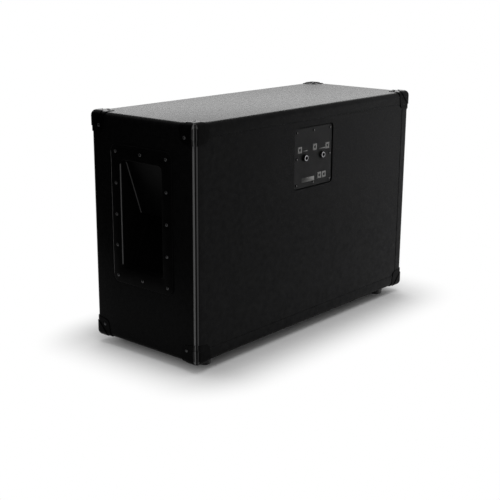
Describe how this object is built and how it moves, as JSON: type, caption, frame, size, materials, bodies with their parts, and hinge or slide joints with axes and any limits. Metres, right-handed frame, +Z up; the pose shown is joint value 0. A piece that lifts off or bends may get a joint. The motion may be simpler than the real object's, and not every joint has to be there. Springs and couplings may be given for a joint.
{
  "type": "guitar speaker cabinet",
  "caption": "Closed-back guitar speaker cabinet in black vinyl with recessed side handles, corner protectors, rubber feet, a rear jack plate, and drivers behind a removable grille.",
  "frame": {"origin": "on the floor, under the middle of the cabinet", "axes": "+Z up, +X to the right seen from the front, the front with its grille faces -Y"},
  "size_m": [0.786, 0.3122, 0.5238],
  "materials": {
    "plywood": "birch plywood, unfinished inside",
    "black_vinyl": "black vinyl covering with a fine pebble grain",
    "grille_fabric": "black woven grille cloth",
    "pad_fabric": "hook-and-loop pads",
    "black_plastic": "moulded black plastic, finely textured",
    "black_plate": "satin black paint",
    "collar_plastic": "black nylon",
    "screw_steel": "zinc plated",
    "jack_chrome": "nickel plated",
    "spring_brass": "tinned spring brass",
    "foot_rubber": "black rubber",
    "flex_sheath": "black flat twin flex",
    "cone_paper": "dark pressed paper",
    "coil_metal": "wound coil on its former",
    "suspension_cloth": "treated cloth",
    "basket_paint": "black paint on pressed steel",
    "motor_steel": "zinc plated steel",
    "ferrite": "ferrite",
    "gasket_board": "pressed fibre"
  },
  "bodies": {
    "cabinet": {"bottom_panel": "plywood", "top_panel": "plywood", "left_side_panel": "plywood", "right_side_panel": "plywood", "rear_panel": "plywood", "baffle_board": "plywood", "battens": "plywood", "centre_brace": "plywood", "shell_covering": "black_vinyl", "rear_covering": "black_vinyl", "grille_pads": "pad_fabric", "left_handle": "black_plastic", "right_handle": "black_plastic", "front_corner_protectors": "black_plastic", "rear_corner_protectors": "black_plastic", "left_jack_body": "black_plastic", "right_jack_body": "black_plastic", "left_terminals": "black_plastic", "right_terminals": "black_plastic", "jack_plate": "black_plate", "jack_collars": "collar_plastic", "handle_screws": "screw_steel", "corner_screws": "screw_steel", "foot_screws": "screw_steel", "jack_plate_screws": "screw_steel", "driver_bolts": "screw_steel", "jack_nuts": "jack_chrome", "left_front_foot": "foot_rubber", "left_rear_foot": "foot_rubber", "right_front_foot": "foot_rubber", "right_rear_foot": "foot_rubber", "left_flex": "flex_sheath", "right_flex": "flex_sheath", "left_surround": "suspension_cloth", "right_surround": "suspension_cloth", "left_spider": "suspension_cloth", "right_spider": "suspension_cloth", "left_basket": "basket_paint", "right_basket": "basket_paint", "left_top_plate": "motor_steel", "right_top_plate": "motor_steel", "left_yoke": "motor_steel", "right_yoke": "motor_steel", "left_magnet": "ferrite", "right_magnet": "ferrite", "left_gasket": "gasket_board", "right_gasket": "gasket_board"},
    "grille": {"grille_frame": "plywood", "grille_cloth": "grille_fabric"},
    "left_diaphragm": {"left_cone": "cone_paper", "left_dust_cap": "cone_paper", "left_voice_coil": "coil_metal"},
    "left_jack_contact": {"left_jack_spring": "spring_brass"},
    "right_diaphragm": {"right_cone": "cone_paper", "right_dust_cap": "cone_paper", "right_voice_coil": "coil_metal"},
    "right_jack_contact": {"right_jack_spring": "spring_brass"}
  },
  "joints": [
    {"name": "grille_pull", "type": "slide", "parent": "cabinet", "child": "grille", "axis": [0, -1, 0], "range_m": [0, 0.12]},
    {"name": "left_cone_travel", "type": "slide", "parent": "cabinet", "child": "left_diaphragm", "axis": [0, -1, 0], "range_m": [-0.005, 0.005], "stiffness_N_per_m": 5000, "deforming": ["left_surround", "left_spider"]},
    {"name": "left_contact_lift", "type": "hinge", "parent": "cabinet", "child": "left_jack_contact", "pos_m": [-0.0315, 0.1242, 0.4138], "axis": [1, 0, 0], "range_deg": [0, 8], "stiffness_Nm_per_rad": 0.4},
    {"name": "right_cone_travel", "type": "slide", "parent": "cabinet", "child": "right_diaphragm", "axis": [0, -1, 0], "range_m": [-0.005, 0.005], "stiffness_N_per_m": 5000, "deforming": ["right_surround", "right_spider"]},
    {"name": "right_contact_lift", "type": "hinge", "parent": "cabinet", "child": "right_jack_contact", "pos_m": [0.0315, 0.1242, 0.4138], "axis": [1, 0, 0], "range_deg": [0, 8], "stiffness_Nm_per_rad": 0.4}
  ]
}
